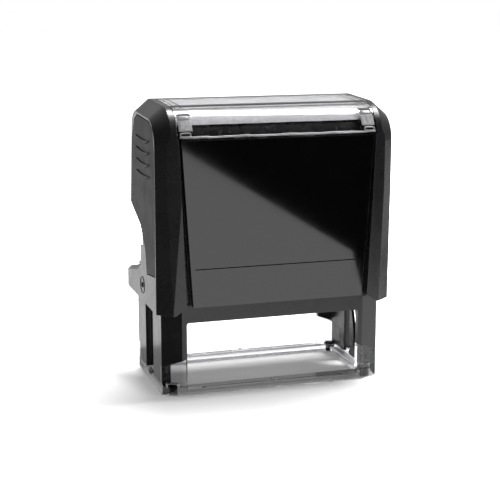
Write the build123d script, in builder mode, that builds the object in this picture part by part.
"""A self-inking text stamp: a black frame on a clear base, a sprung cap, and a
plate carrier that turns over as the cap goes down. Millimetres, +Z up, the front
faces -Y. The pieces are drawn about the axle's plane, Y = 0, and are written out
about the middle of the stamp's footprint, at the height of the paper."""
from build123d import *
import os
from math import cos, pi, sin

os.makedirs("parts", exist_ok=True)

# ---- driving dimensions ----
BASE_W = 69.0  # base frame, across X
BASE_D = 36.6  # base frame, across Y
CORNER_X = 5.8  # long flat corner of the base, measured on the front face
CORNER_Y = 2.6  # and on the end face
CAP_W = 73.2  # cap, across X
CAP_WALL = 1.8
STROKE = 24.0  # how far the cap goes down
AXLE_Z = 31.0  # carrier's axle with the cap up
FACE_UP = 6.6  # print face above the axle
DIE_W = 58.0  # text plate
DIE_D = 22.0

HALF_W = BASE_W / 2
HALF_D = BASE_D / 2
CAP_X = CAP_W / 2
CAP_IN = CAP_X - CAP_WALL
SIDES = {"left": -1, "right": 1}
CORNERS = {
    "front_left": (-1, -1),
    "front_right": (1, -1),
    "rear_left": (-1, 1),
    "rear_right": (1, 1),
}

# heights and thicknesses of the lower frame
WINDOW_HALF = 27.2  # the stamping window's half width
WINDOW_TOP = 22.5
RIM_H = 2.0  # clear rim along the front and back
END_STEP_Z = 3.3  # underside of the black end plates
END_STEP_Y = 13.3
LEG_LOW_Z = 8.9  # slanted underside of a leg, at the outer end
LEG_HIGH_Z = 11.5  # and at the window
FRAME_WALL = 1.8
FOOT_X, FOOT_Y = 30.8, 14.6  # rubber feet in the corners
FOOT_R = 1.5
FOOT_H = 2.6
END_IN = 31.0  # inner face of the thick end plates
SHOULDER_Z = 29.0  # top of the full-depth part of the frame
END_FULL_Z = 35.5  # top of the end plates' full depth
END_TOP_Z = 41.0
END_TOP_HALF = 11.0
BAY_TOP_Z = 48.0  # top of the cartridge bay
BAY_X = 32.5
BAY_FRONT = -HALF_D
BAY_REAR = 13.2
BAY_SIDE_REAR = 10.8  # back edge of the bay's end walls
BAY_SILL_Z = 36.8  # top of its low back wall
POST_HALF_Y = 4.0
SLOT_R = 5.0  # axle slot in the end plates
HUB_R = 4.7  # the cap's hub that slides in it
HUB_END_X = 32.1  # its inner end
AXLE_R = 2.0
PIN_ARM = 7.5  # cam pin's distance from the axle
PIN_R = 1.2
CAM_DEPTH = 1.3
CAM_GAP = 0.3
POST_TOP_Z = 58.0  # lock posts
PAD_Z = 38.2  # underside of the ink pad
PAD_HALF_X = 29.3
PAD_D = 23.6
PAD_T = 4.7
TRAY_Z = 38.4  # underside of the cartridge's rim
PLATE_UP = 1.6  # heights above the axle: the carrier's plate
FOAM_UP = 3.2  # its foam backing
DIE_UP = 4.2  # the text plate
PRINT_UP = 5.6  # and its raised print

# heights of the cap
CAP_BOTTOM = 26.0
CHEEK_X = 3.6  # long flat corner of the cap, measured across X
CHEEK_Y = 4.4  # and on the end face
CAP_FRONT = -23.2
TURN_X = 29.4  # faces beside the front panel that turn back a little towards the corners
TURN_W = 4.5
TURN_BACK = 1.1
REAR_BOTTOM = 54.2  # lower edge of the cap's back wall
BAND_TOP = 32.6  # top of the rear tie band
BAND_REAR = 20.8  # its back face, the rearmost of the stamp
PANEL_FRONT = -23.45  # the front panel's face, the foremost
FOOTPRINT_Y = (BAND_REAR + PANEL_FRONT) / 2  # middle of the footprint
CARD_X = 30.6  # recess for card and window
WINDOW_LOW = 77.6
PANEL_FACE = -20.7  # floor of the front panel's recess
LEVER_PIVOT_Z = 50.0
CATCH_Z = 68.4  # the side levers' catches, with the cap up
CATCH_IN = 32.9  # and their inner ends
LOCK_TRAVEL = 13.0  # how far down the cap is when they lock it
SPRING_X, SPRING_Y = 0.0, -1.0
SPRING_R = 5.4
SPRING_WIRE = 0.45
SPRING_TURNS = 8
CAVITY_TOP = 83.0
CARD_LOW = 81.0  # lower edge of the card
CORE_IN = 2.3  # depth of the recess for card and window
GLASS_T = 1.7
PANEL_SPLIT_Z = 39.5  # gap between the front panel and its lower band
PANEL_LOW = 28.3
PANEL_HIGH = 77.3
PANEL_LOW_X = 26.3  # half widths at the bottom and top
PANEL_TOP_X = 29.5
PANEL_LEAN = 0.6  # how far the bottom edge leans back
GROOVE = 1.3  # how much deeper the gap beside the panel is
BAND_MARGIN = 1.3
BAND_GAP = 0.3
LEVER_GAP = 0.3
LEVER_T = 0.95
RIB_Y = -8.2  # middle of the hinge rib behind a lever
RIB_LENGTH = 18.4
RIB_H = 0.9
RIB_IN = 35.25  # its inner face
RIB_GAP = 0.2
LEVER_POINTS = [
    (-18.3, 37.0),
    (-7.2, 35.6),
    (-6.2, 40.3),
    (-5.5, 43.2),
    (-3.8, 45.0),
    (1.2, 49.4),
    (8.1, 51.9),
    (13.3, 53.9),
    (11.5, 69.0),
    (10.4, 75.0),
    (6.8, 81.0),
    (2.6, 82.8),
    (-13.9, 82.2),
    (-17.7, 80.2),
    (-19.3, 74.0),
    (-19.3, 60.0),
]


def write(piece, name):
    """Names a finished piece and writes it about the middle of the footprint."""
    placed = piece.moved(Location((0, -FOOTPRINT_Y, 0)))
    placed.label = name
    export_step(placed, f"parts/{name}.step")


def base_outline(inset=0.0):
    """The base's plan shape, a rectangle with long flat corners."""
    x = HALF_W - inset
    y = HALF_D - inset
    Polygon(
        (x, -y + CORNER_Y),
        (x, y - CORNER_Y),
        (x - CORNER_X, y),
        (-x + CORNER_X, y),
        (-x, y - CORNER_Y),
        (-x, -y + CORNER_Y),
        (-x + CORNER_X, -y),
        (x - CORNER_X, -y),
        align=None,
    )


def leg_top(side):
    """The space above the slanted line where one end's clear posts meet the legs."""
    out = side * (HALF_W + 1)
    slope = (LEG_HIGH_Z - LEG_LOW_Z) / (HALF_W - WINDOW_HALF)
    Polygon(
        (out, LEG_LOW_Z - slope),
        (side * WINDOW_HALF, LEG_HIGH_Z),
        (side * WINDOW_HALF, LEG_HIGH_Z + 1),
        (out, LEG_HIGH_Z + 1),
        align=None,
    )


def leg_wedge(side):
    """The space under the legs of one end, seen from the front: its top slants."""
    out = side * (HALF_W + 1)
    slope = (LEG_HIGH_Z - LEG_LOW_Z) / (HALF_W - WINDOW_HALF)
    Polygon(
        (out, -1),
        (side * (WINDOW_HALF - 2), -1),
        (side * (WINDOW_HALF - 2), LEG_HIGH_Z + 2 * slope),
        (out, LEG_LOW_Z - slope),
        align=None,
    )


def cam_point(step):
    """Where the cam pin is on the end plate (y, z), at a fraction of the stroke."""
    angle = pi * step
    return (PIN_ARM * cos(angle), AXLE_Z - STROKE * step + PIN_ARM * sin(angle))


# the cap's side outline, anticlockwise from the back's lower edge: (y, z) and corner radius
CAP_OUTLINE = [
    ((BAND_REAR, CAP_BOTTOM), 0),
    ((BAND_REAR, BAND_TOP), 0),
    ((7.0, 35.4), 0),
    ((0.4, 37.6), 1.5),
    ((-0.6, 44.2), 1.5),
    ((-0.3, 47.3), 1.5),
    ((1.0, 48.8), 0.8),
    ((8.1, 51.3), 0),
    ((14.6, 53.2), 0),
    ((18.0, REAR_BOTTOM), 0),
    ((13.5, 87.4), 10),
    ((CAP_FRONT, 86.0), 11.5),
    ((CAP_FRONT, 62.0), 0),
    ((-22.5, CAP_BOTTOM), 0),
]

# ---- the cap's side outline, shared by the shell, the window and the card ----
with BuildSketch(Plane.YZ) as cap_outline:
    with BuildLine():
        FilletPolyline(*[p for p, _ in CAP_OUTLINE], radius=[r for _, r in CAP_OUTLINE], close=True)
    make_face()

# its upper part alone, and the same shape further in
with BuildSketch(Plane.YZ) as dome:
    with BuildLine():
        FilletPolyline((17.21, 60), (13.5, 87.4), (CAP_FRONT, 86.0), (CAP_FRONT, 60), radius=[10, 11.5])
        Line((CAP_FRONT, 60), (17.21, 60))
    make_face()
CORE = offset(dome.sketch_local, amount=-CORE_IN)
CARD_TOP = offset(dome.sketch_local, amount=-GLASS_T - 0.1)
GLASS_UNDER = offset(dome.sketch_local, amount=-GLASS_T)

# the opening for a side lever: a wide grip above, a narrow tail below
with BuildSketch(Plane.YZ) as lever_opening:
    Polygon(*LEVER_POINTS, align=None)
LEVER_PLATE = offset(lever_opening.sketch_local, amount=-LEVER_GAP)

# ---- clear base ----
with BuildPart() as clear_base:
    with BuildSketch(Plane.XY):
        base_outline()
    extrude(amount=LEG_HIGH_Z)
    chamfer(clear_base.faces().sort_by(Axis.Z)[0].edges(), 0.4)
    with BuildSketch(Plane.XY.offset(RIM_H)):
        base_outline(FRAME_WALL)
    extrude(amount=LEG_HIGH_Z, mode=Mode.SUBTRACT)
    # the opening that the print face goes through
    with BuildSketch(Plane.XY):
        Rectangle(2 * 29.9, 2 * 13.6)
    extrude(amount=RIM_H + 1, mode=Mode.SUBTRACT)
    # the stamping window, above the front and back rims
    with BuildSketch(Plane.XY.offset(RIM_H)):
        Rectangle(2 * WINDOW_HALF, BASE_D + 2)
    extrude(amount=LEG_HIGH_Z, mode=Mode.SUBTRACT)
    # room for the black end plates
    with BuildSketch(Plane.XY.offset(END_STEP_Z)):
        Rectangle(BASE_W + 2, 2 * END_STEP_Y + 0.2)
    extrude(amount=LEG_HIGH_Z, mode=Mode.SUBTRACT)
    # the corner posts end in a slant under the legs
    with BuildSketch(Plane.XZ):
        for side in SIDES.values():
            leg_top(side)
    extrude(amount=HALF_D + 1, both=True, mode=Mode.SUBTRACT)
    # a boss for a rubber foot in each corner
    with BuildSketch(Plane.XY):
        for x, y in CORNERS.values():
            with Locations((x * FOOT_X, y * FOOT_Y)):
                Circle(2.1)
    extrude(amount=3.2)
    with BuildSketch(Plane.XY):
        for x, y in CORNERS.values():
            with Locations((x * FOOT_X, y * FOOT_Y)):
                Circle(FOOT_R)
    extrude(amount=FOOT_H, mode=Mode.SUBTRACT)
    # round foot of the axle slot in each end
    for side in SIDES.values():
        with BuildSketch(Plane.YZ.offset(side * HALF_W)):
            with Locations((0, AXLE_Z - STROKE)):
                Circle(SLOT_R)
        extrude(amount=-side * 5, mode=Mode.SUBTRACT)
    # centre mark on both rims
    with BuildSketch(Plane.XY.offset(RIM_H)):
        with Locations((0, HALF_D - 1.6), (0, -HALF_D + 1.6)):
            Rectangle(0.8, 1.6)
    extrude(amount=0.6)
write(clear_base.part, "clear_base")

# ---- rubber feet ----
for name, (x, y) in CORNERS.items():
    with BuildPart() as foot:
        with BuildSketch(Plane.XY):
            with Locations((x * FOOT_X, y * FOOT_Y)):
                Circle(FOOT_R)
        extrude(amount=FOOT_H)
        chamfer(foot.edges().filter_by(GeomType.CIRCLE).sort_by(Axis.Z)[0], 0.3)
    write(foot.part, f"rubber_foot_{name}")

# ---- lower frame ----
with BuildPart() as lower_frame:
    with BuildSketch(Plane.XY.offset(END_STEP_Z)):
        base_outline()
    extrude(amount=SHOULDER_Z - END_STEP_Z)
    # inner space, with thick ends for the cam grooves
    with BuildSketch(Plane.XY):
        Rectangle(2 * END_IN, BASE_D - 2 * FRAME_WALL)
    extrude(amount=SHOULDER_Z, mode=Mode.SUBTRACT)
    with BuildSketch(Plane.XZ):
        RectangleRounded(2 * WINDOW_HALF, 2 * WINDOW_TOP, 0.7)
    extrude(amount=HALF_D + 1, both=True, mode=Mode.SUBTRACT)
    # slanted ends of the legs, in front of and behind the end plates
    with BuildSketch(Plane.XZ):
        for side in SIDES.values():
            leg_wedge(side)
    extrude(amount=HALF_D + 1, both=True, mode=Mode.SUBTRACT)
    with BuildSketch(Plane.XY.offset(END_STEP_Z)):
        for side in SIDES.values():
            with Locations((side * (END_IN + HALF_W) / 2, 0)):
                Rectangle(HALF_W - END_IN, 2 * END_STEP_Y)
    extrude(amount=END_FULL_Z - END_STEP_Z)
    with BuildSketch(Plane.XY.offset(SHOULDER_Z - 1)):
        for side in SIDES.values():
            with Locations((side * (END_IN + HALF_W) / 2, 0)):
                Rectangle(HALF_W - END_IN, 2 * END_TOP_HALF)
    extrude(amount=END_TOP_Z - SHOULDER_Z + 1)
    # cartridge bay: front wall, end walls, top, low back wall
    with BuildSketch(Plane.XY.offset(WINDOW_TOP)):
        with Locations((0, BAY_FRONT + FRAME_WALL / 2)):
            Rectangle(2 * (HALF_W - CORNER_X), FRAME_WALL)
    extrude(amount=BAY_TOP_Z - WINDOW_TOP)
    with BuildSketch(Plane.XY.offset(SHOULDER_Z - 1)):
        for side in SIDES.values():
            with Locations((side * (END_IN + BAY_X) / 2, (BAY_FRONT + BAY_SIDE_REAR) / 2)):
                Rectangle(BAY_X - END_IN, BAY_SIDE_REAR - BAY_FRONT)
    extrude(amount=BAY_TOP_Z - SHOULDER_Z + 1)
    with BuildSketch(Plane.XY.offset(BAY_TOP_Z - 1.6)):
        with Locations((0, (BAY_FRONT + BAY_REAR) / 2)):
            Rectangle(2 * (END_IN + 0.2), BAY_REAR - BAY_FRONT)
    extrude(amount=1.6)
    with BuildSketch(Plane.XY.offset(SHOULDER_Z - 1.5)):
        with Locations((0, (BAY_REAR + HALF_D) / 2)):
            Rectangle(2 * (END_IN + 0.2), HALF_D - BAY_REAR)
    extrude(amount=1.5)
    with BuildSketch(Plane.XY.offset(SHOULDER_Z - 1)):
        with Locations((0, BAY_REAR + 0.7)):
            Rectangle(2 * (END_IN + 0.2), 1.4)
    extrude(amount=BAY_SILL_Z - SHOULDER_Z + 1)
    # rails that the cartridge slides on
    with BuildSketch(Plane.XY.offset(PAD_Z - 1.2)):
        for side in SIDES.values():
            with Locations((side * (END_IN - 0.5), (BAY_FRONT + BAY_SIDE_REAR) / 2)):
                Rectangle(1.2, BAY_SIDE_REAR - BAY_FRONT)
    extrude(amount=1.2)
    # lock posts on the bay's ends, with two catch holes each
    with BuildSketch(Plane.XY.offset(BAY_TOP_Z - 0.5)):
        for side in SIDES.values():
            with Locations((side * (END_IN + BAY_X) / 2, 0)):
                Rectangle(BAY_X - END_IN, 2 * POST_HALF_Y)
    extrude(amount=POST_TOP_Z - BAY_TOP_Z + 0.5)
    with BuildSketch(Plane.YZ):
        with Locations((0, CATCH_Z - LOCK_TRAVEL), (0, CATCH_Z - STROKE)):
            Rectangle(5, 3.2)
    extrude(amount=HALF_W, both=True, mode=Mode.SUBTRACT)
    # spring seat
    with BuildSketch(Plane.XY.offset(BAY_TOP_Z - 0.5)):
        with Locations((SPRING_X, SPRING_Y)):
            Circle(SPRING_R + 2.2)
            Circle(SPRING_R + 1.0, mode=Mode.SUBTRACT)
    extrude(amount=3.5)
    # axle slot: wide outside for the cap's hub, narrow inside for the axle
    for side in SIDES.values():
        for width, depth in ((2 * SLOT_R, HALF_W - HUB_END_X + 0.2), (2 * AXLE_R + 0.6, 5)):
            with BuildSketch(Plane.YZ.offset(side * HALF_W)):
                with Locations((0, AXLE_Z - STROKE / 2)):
                    SlotCenterToCenter(STROKE + 0.4, width, rotation=90)
                Rectangle(width, 2 * (AXLE_Z - STROKE))
            extrude(amount=-side * depth, mode=Mode.SUBTRACT)
    # cam grooves in the end plates' inner faces
    for side in SIDES.values():
        with BuildSketch(Plane.YZ.offset(side * END_IN)):
            with BuildLine():
                Spline(*[cam_point(step / 10) for step in range(11)])
            trace(line_width=2 * (PIN_R + CAM_GAP))
            with Locations(cam_point(0), cam_point(1)):
                Circle(PIN_R + CAM_GAP)
        extrude(amount=side * CAM_DEPTH, mode=Mode.SUBTRACT)
write(lower_frame.part, "lower_frame")

# ---- ink cartridge and pad ----
with BuildPart() as ink_cartridge:
    with BuildSketch(Plane.XY.offset(TRAY_Z)):
        with Locations((0, -0.9)):
            RectangleRounded(2 * 30.6, 29.0, 1.2)
    extrude(amount=7.4)
    with BuildSketch(Plane.XY.offset(TRAY_Z)):
        Rectangle(2 * PAD_HALF_X, PAD_D)
    extrude(amount=PAD_T + PAD_Z - TRAY_Z, mode=Mode.SUBTRACT)
    # finger grip along the back
    with BuildSketch(Plane.XZ.offset(-13.6)):
        with Locations((0, PAD_Z + 4.0)):
            with GridLocations(3.0, 0, 9, 1):
                Rectangle(1.4, 4.0)
    extrude(amount=0.8, mode=Mode.SUBTRACT)
write(ink_cartridge.part, "ink_cartridge")

with BuildPart() as ink_pad:
    with BuildSketch(Plane.XY.offset(PAD_Z)):
        RectangleRounded(2 * PAD_HALF_X, PAD_D, 0.6)
    extrude(amount=PAD_T)
write(ink_pad.part, "ink_pad")

# ---- plate carrier with its trunnions ----
with BuildPart() as plate_carrier:
    with BuildSketch(Plane.XY.offset(AXLE_Z + PLATE_UP)):
        Rectangle(DIE_W + 0.8, DIE_D)
    extrude(amount=FOAM_UP - PLATE_UP)
    with BuildSketch(Plane.XY.offset(AXLE_Z - 2.4)):
        with GridLocations(0, 14.0, 1, 2):
            Rectangle(DIE_W - 6, 1.4)
        with GridLocations(13.0, 0, 5, 1):
            Rectangle(1.4, 14.0)
    extrude(amount=4.2)
    with BuildSketch(Plane.YZ.offset(-DIE_W / 2 - 0.4)):
        with Locations((0, AXLE_Z - 0.2)):
            Rectangle(19.0, 4.6)
    extrude(amount=1.6)
    with BuildSketch(Plane.YZ.offset(DIE_W / 2 + 0.4)):
        with Locations((0, AXLE_Z - 0.2)):
            Rectangle(19.0, 4.6)
    extrude(amount=-1.6)
    for side in SIDES.values():
        with BuildSketch(Plane.YZ.offset(side * (DIE_W / 2))):
            with Locations((0, AXLE_Z)):
                Circle(AXLE_R)
        extrude(amount=side * (CAP_X - 0.9 - DIE_W / 2))
        with BuildSketch(Plane.YZ.offset(side * (DIE_W / 2))):
            with Locations((PIN_ARM, AXLE_Z)):
                Circle(PIN_R)
        extrude(amount=side * (END_IN + CAM_DEPTH - 0.2 - DIE_W / 2))
write(plate_carrier.part, "plate_carrier")

with BuildPart() as mount_foam:
    with BuildSketch(Plane.XY.offset(AXLE_Z + FOAM_UP)):
        RectangleRounded(DIE_W - 0.4, DIE_D - 0.4, 0.5)
    extrude(amount=DIE_UP - FOAM_UP)
write(mount_foam.part, "mount_foam")

with BuildPart() as text_die:
    with BuildSketch(Plane.XY.offset(AXLE_Z + DIE_UP)):
        RectangleRounded(DIE_W, DIE_D, 0.5)
    extrude(amount=PRINT_UP - DIE_UP)
    # raised print: a border and plain bars in place of any words
    with BuildSketch(Plane.XY.offset(AXLE_Z + PRINT_UP)):
        RectangleRounded(54.0, 19.0, 1.5)
        RectangleRounded(52.6, 17.6, 1.0, mode=Mode.SUBTRACT)
        for row, length in enumerate((42.0, 34.0, 38.0, 26.0)):
            with Locations((0, 6.0 - 4.0 * row)):
                Rectangle(length, 1.6)
    extrude(amount=FACE_UP - PRINT_UP)
write(text_die.part, "text_die")

# ---- cap shell ----
with BuildPart() as cap_shell:
    extrude(cap_outline.sketch, amount=CAP_X, both=True)
    # long flat corners along the front, over the top and down the back
    for side in SIDES.values():
        end_face = cap_shell.faces().sort_by(Axis.X)[0 if side < 0 else -1]
        high = end_face.edges().filter_by(lambda edge: (edge @ 0.5).Z > REAR_BOTTOM + 0.5)
        front = end_face.edges().filter_by(lambda edge: (edge @ 0.5).Y < -20)
        rim = high + front.filter_by(lambda edge: CAP_BOTTOM + 1 < (edge @ 0.5).Z < REAR_BOTTOM)
        chamfer(rim, length=CHEEK_X, length2=CHEEK_Y, reference=end_face)
        behind = end_face.edges().filter_by(lambda edge: (edge @ 0.5).Y > 0)
        chamfer(behind.filter_by(lambda edge: BAND_TOP < (edge @ 0.5).Z < 37), 1.2)
    # the space that the frame slides in
    with BuildSketch(Plane.YZ):
        with BuildLine():
            Polyline(
                (-18.7, 20),
                (18.7, 20),
                (18.7, 53.4),
                (14.3, 53.4),
                (12.1, 69.0),
                (11.0, 75.0),
                (7.0, 80.4),
                (3.0, CAVITY_TOP),
                (-12.0, CAVITY_TOP - 0.6),
                (-16.5, 79.5),
                (-18.7, 75.0),
                close=True,
            )
        make_face()
    extrude(amount=CAP_IN, both=True, mode=Mode.SUBTRACT)
    with BuildSketch(Plane.YZ):
        with BuildLine():
            Polyline(
                (14.0, 53.0),
                (16.3, 53.0),
                (14.3, 69.0),
                (12.6, 76.0),
                (10.0, 76.0),
                close=True,
            )
        make_face()
    extrude(amount=31.5, both=True, mode=Mode.SUBTRACT)
    # recess for the front panel, wider at the top
    with BuildSketch(Plane.XZ.offset(-PANEL_FACE)):
        Polygon((-28.0, 20), (28.0, 20), (30.2, WINDOW_LOW), (-30.2, WINDOW_LOW), align=None)
    extrude(amount=6, mode=Mode.SUBTRACT)
    with BuildSketch(Plane.XZ):
        Rectangle(2 * 27.6, 56, align=(Align.CENTER, Align.CENTER))
    extrude(amount=30, mode=Mode.SUBTRACT)
    # deep grooves beside the front panel
    with BuildSketch(Plane.XZ.offset(-PANEL_FACE)):
        for side in SIDES.values():
            Polygon(
                (side * 26.6, 27),
                (side * 28.2, 27),
                (side * 30.1, WINDOW_LOW - 1.6),
                (side * 29.6, WINDOW_LOW - 1.6),
                align=None,
            )
    extrude(amount=-GROOVE, mode=Mode.SUBTRACT)
    # slightly turned faces between the flat corners and the front
    with BuildSketch(Plane.XY):
        for side in SIDES.values():
            Polygon(
                (side * TURN_X, CAP_FRONT),
                (side * (TURN_X + TURN_W), CAP_FRONT + TURN_BACK),
                (side * (TURN_X + TURN_W), CAP_FRONT - 3),
                (side * TURN_X, CAP_FRONT - 3),
                align=None,
            )
    extrude(amount=120, mode=Mode.SUBTRACT)
    # slanted lower edge of the cheeks
    with BuildSketch(Plane.XZ):
        for side in SIDES.values():
            Polygon(
                (side * 31.5, 20),
                (side * 27, 20),
                (side * 27, 29.2),
                (side * 31.5, CAP_BOTTOM),
                align=None,
            )
    extrude(amount=30, mode=Mode.SUBTRACT)
    # recess for the card and the window, over the top
    with BuildSketch(Plane.YZ):
        add(dome.sketch_local)
        add(CORE, mode=Mode.SUBTRACT)
        with Locations((0, 50)):
            Rectangle(80, 2 * (WINDOW_LOW - 50), mode=Mode.SUBTRACT)
    extrude(amount=CARD_X, both=True, mode=Mode.SUBTRACT)
    # shallow recess for the back panel
    with BuildSketch(Plane.YZ):
        Polygon((16.86, 56), (20, 56), (20, 75.4), (14.23, 75.4), align=None)
    extrude(amount=29.6, both=True, mode=Mode.SUBTRACT)
    # hubs that slide in the frame's slots and hold the axle
    for side in SIDES.values():
        with BuildSketch(Plane.YZ.offset(side * (CAP_IN + 0.2))):
            with Locations((0, AXLE_Z)):
                Circle(HUB_R)
        extrude(amount=-side * (CAP_IN + 0.2 - HUB_END_X))
    with BuildSketch(Plane.YZ):
        with Locations((0, AXLE_Z)):
            Circle(AXLE_R + 0.08)
    extrude(amount=CAP_X - 0.8, both=True, mode=Mode.SUBTRACT)
    # spring spigot under the top
    with BuildSketch(Plane.XY.offset(CAVITY_TOP + 0.4)):
        with Locations((SPRING_X, SPRING_Y)):
            Circle(SPRING_R - 1.1)
    extrude(amount=-8)
    # openings for the lock levers: right through above the hinge, a pocket below it
    for side in SIDES.values():
        with BuildSketch(Plane.YZ.offset(side * CAP_X)):
            add(lever_opening.sketch_local)
        extrude(amount=-side * (LEVER_T + 0.1), mode=Mode.SUBTRACT)
        with BuildSketch(Plane.YZ.offset(side * CAP_X)):
            add(lever_opening.sketch_local)
            with Locations((0, LEVER_PIVOT_Z)):
                Rectangle(60, 60, align=(Align.CENTER, Align.MAX), mode=Mode.SUBTRACT)
        extrude(amount=-side * (CAP_WALL + 1), mode=Mode.SUBTRACT)
        # step that the lever's hinge rib rocks in
        with BuildSketch(Plane.YZ.offset(side * CAP_X)):
            with Locations((RIB_Y, LEVER_PIVOT_Z)):
                Rectangle(RIB_LENGTH + 2 * RIB_GAP, RIB_H + 2 * RIB_GAP)
        extrude(amount=-side * (CAP_X - RIB_IN + RIB_GAP), mode=Mode.SUBTRACT)
write(cap_shell.part, "cap_shell")


# ---- glossy panels ----
def panel_front(low, high, margin=0.0):
    """The front panel's outline between two heights, narrower by margin on each side."""
    spread = (PANEL_TOP_X - PANEL_LOW_X) / (PANEL_HIGH - PANEL_LOW)
    low_x = PANEL_LOW_X + spread * (low - PANEL_LOW) - margin
    high_x = PANEL_LOW_X + spread * (high - PANEL_LOW) - margin
    Polygon((-low_x, low), (low_x, low), (high_x, high), (-high_x, high), align=None)


# the lower band is let into the panel, with an open line along its top edge
BAND_FACES = {"front_panel": Mode.SUBTRACT, "front_band": Mode.INTERSECT}
for name, mode in BAND_FACES.items():
    with BuildPart() as sheet:
        with BuildSketch(Plane.YZ):
            Polygon(
                (PANEL_FACE + 0.7, PANEL_LOW),
                (PANEL_FRONT + PANEL_LEAN, PANEL_LOW),
                (PANEL_FRONT, PANEL_HIGH),
                (PANEL_FACE + 0.7, PANEL_HIGH),
                align=None,
            )
        extrude(amount=CAP_X, both=True)
        with BuildSketch(Plane.XZ.offset(-PANEL_FACE)):
            panel_front(PANEL_LOW, PANEL_HIGH)
        extrude(amount=4, mode=Mode.INTERSECT)
        line = BAND_GAP if name == "front_panel" else 0.0
        with BuildSketch(Plane.XZ.offset(-PANEL_FACE)):
            panel_front(PANEL_LOW - 1, PANEL_SPLIT_Z + line, BAND_MARGIN)
        extrude(amount=4, mode=mode)
    write(sheet.part, name)

with BuildPart() as rear_panel:
    with BuildSketch(Plane.YZ):
        Polygon((16.9, 56.3), (17.72, 56.3), (15.17, 75.1), (14.33, 75.1), align=None)
    extrude(amount=29.3, both=True)
write(rear_panel.part, "rear_panel")

# ---- sample card and its clear window ----
with BuildPart() as sample_card:
    with BuildSketch(Plane.YZ):
        add(CARD_TOP)
        add(CORE, mode=Mode.SUBTRACT)
        with Locations((0, 50)):
            Rectangle(80, 2 * (CARD_LOW - 50), mode=Mode.SUBTRACT)
    extrude(amount=CARD_X - 0.4, both=True)
write(sample_card.part, "sample_card")

with BuildPart() as top_window:
    with BuildSketch(Plane.YZ):
        add(dome.sketch_local)
        add(GLASS_UNDER, mode=Mode.SUBTRACT)
        with Locations((0, 50)):
            Rectangle(80, 2 * (WINDOW_LOW + 0.2 - 50), mode=Mode.SUBTRACT)
    extrude(amount=CARD_X - 0.2, both=True)
write(top_window.part, "top_window")

# ---- lock levers ----
for name, side in SIDES.items():
    with BuildPart() as lever:
        with BuildSketch(Plane.YZ.offset(side * CAP_X)):
            add(LEVER_PLATE)
        extrude(amount=-side * LEVER_T)
        # grip ribs: crescents, thickest in the middle
        with BuildSketch(Plane.YZ.offset(side * (CAP_X - 0.2))):
            for z in (76.5, 73.0, 69.5, 66.0):
                with BuildLine():
                    ThreePointArc((-13.2, z), (-4.6, z - 1.7), (4.0, z))
                    ThreePointArc((-13.2, z), (-4.6, z - 0.5), (4.0, z))
                make_face()
        extrude(amount=side * 0.6)
        # catch for the lock posts, and the hinge rib
        with BuildSketch(Plane.YZ.offset(side * (CAP_X - LEVER_T + 0.1))):
            with Locations((0, CATCH_Z)):
                Rectangle(4.2, 2.0)
        extrude(amount=-side * (CAP_X - LEVER_T + 0.1 - CATCH_IN))
        with BuildSketch(Plane.YZ.offset(side * RIB_IN)):
            with Locations((RIB_Y, LEVER_PIVOT_Z)):
                Rectangle(RIB_LENGTH, RIB_H)
        extrude(amount=side * (CAP_X - LEVER_T / 2 - RIB_IN))
    write(lever.part, f"lock_lever_{name}")

# ---- return spring ----
with BuildPart() as return_spring:
    with BuildLine() as coil:
        Helix(
            pitch=(CAVITY_TOP - BAY_TOP_Z - 1.4) / SPRING_TURNS,
            height=CAVITY_TOP - BAY_TOP_Z - 1.4,
            radius=SPRING_R,
            center=(SPRING_X, SPRING_Y, BAY_TOP_Z + 0.6),
        )
    with BuildSketch(Plane(origin=coil.line @ 0, z_dir=coil.line % 0)):
        Circle(SPRING_WIRE)
    sweep()
write(return_spring.part, "return_spring")
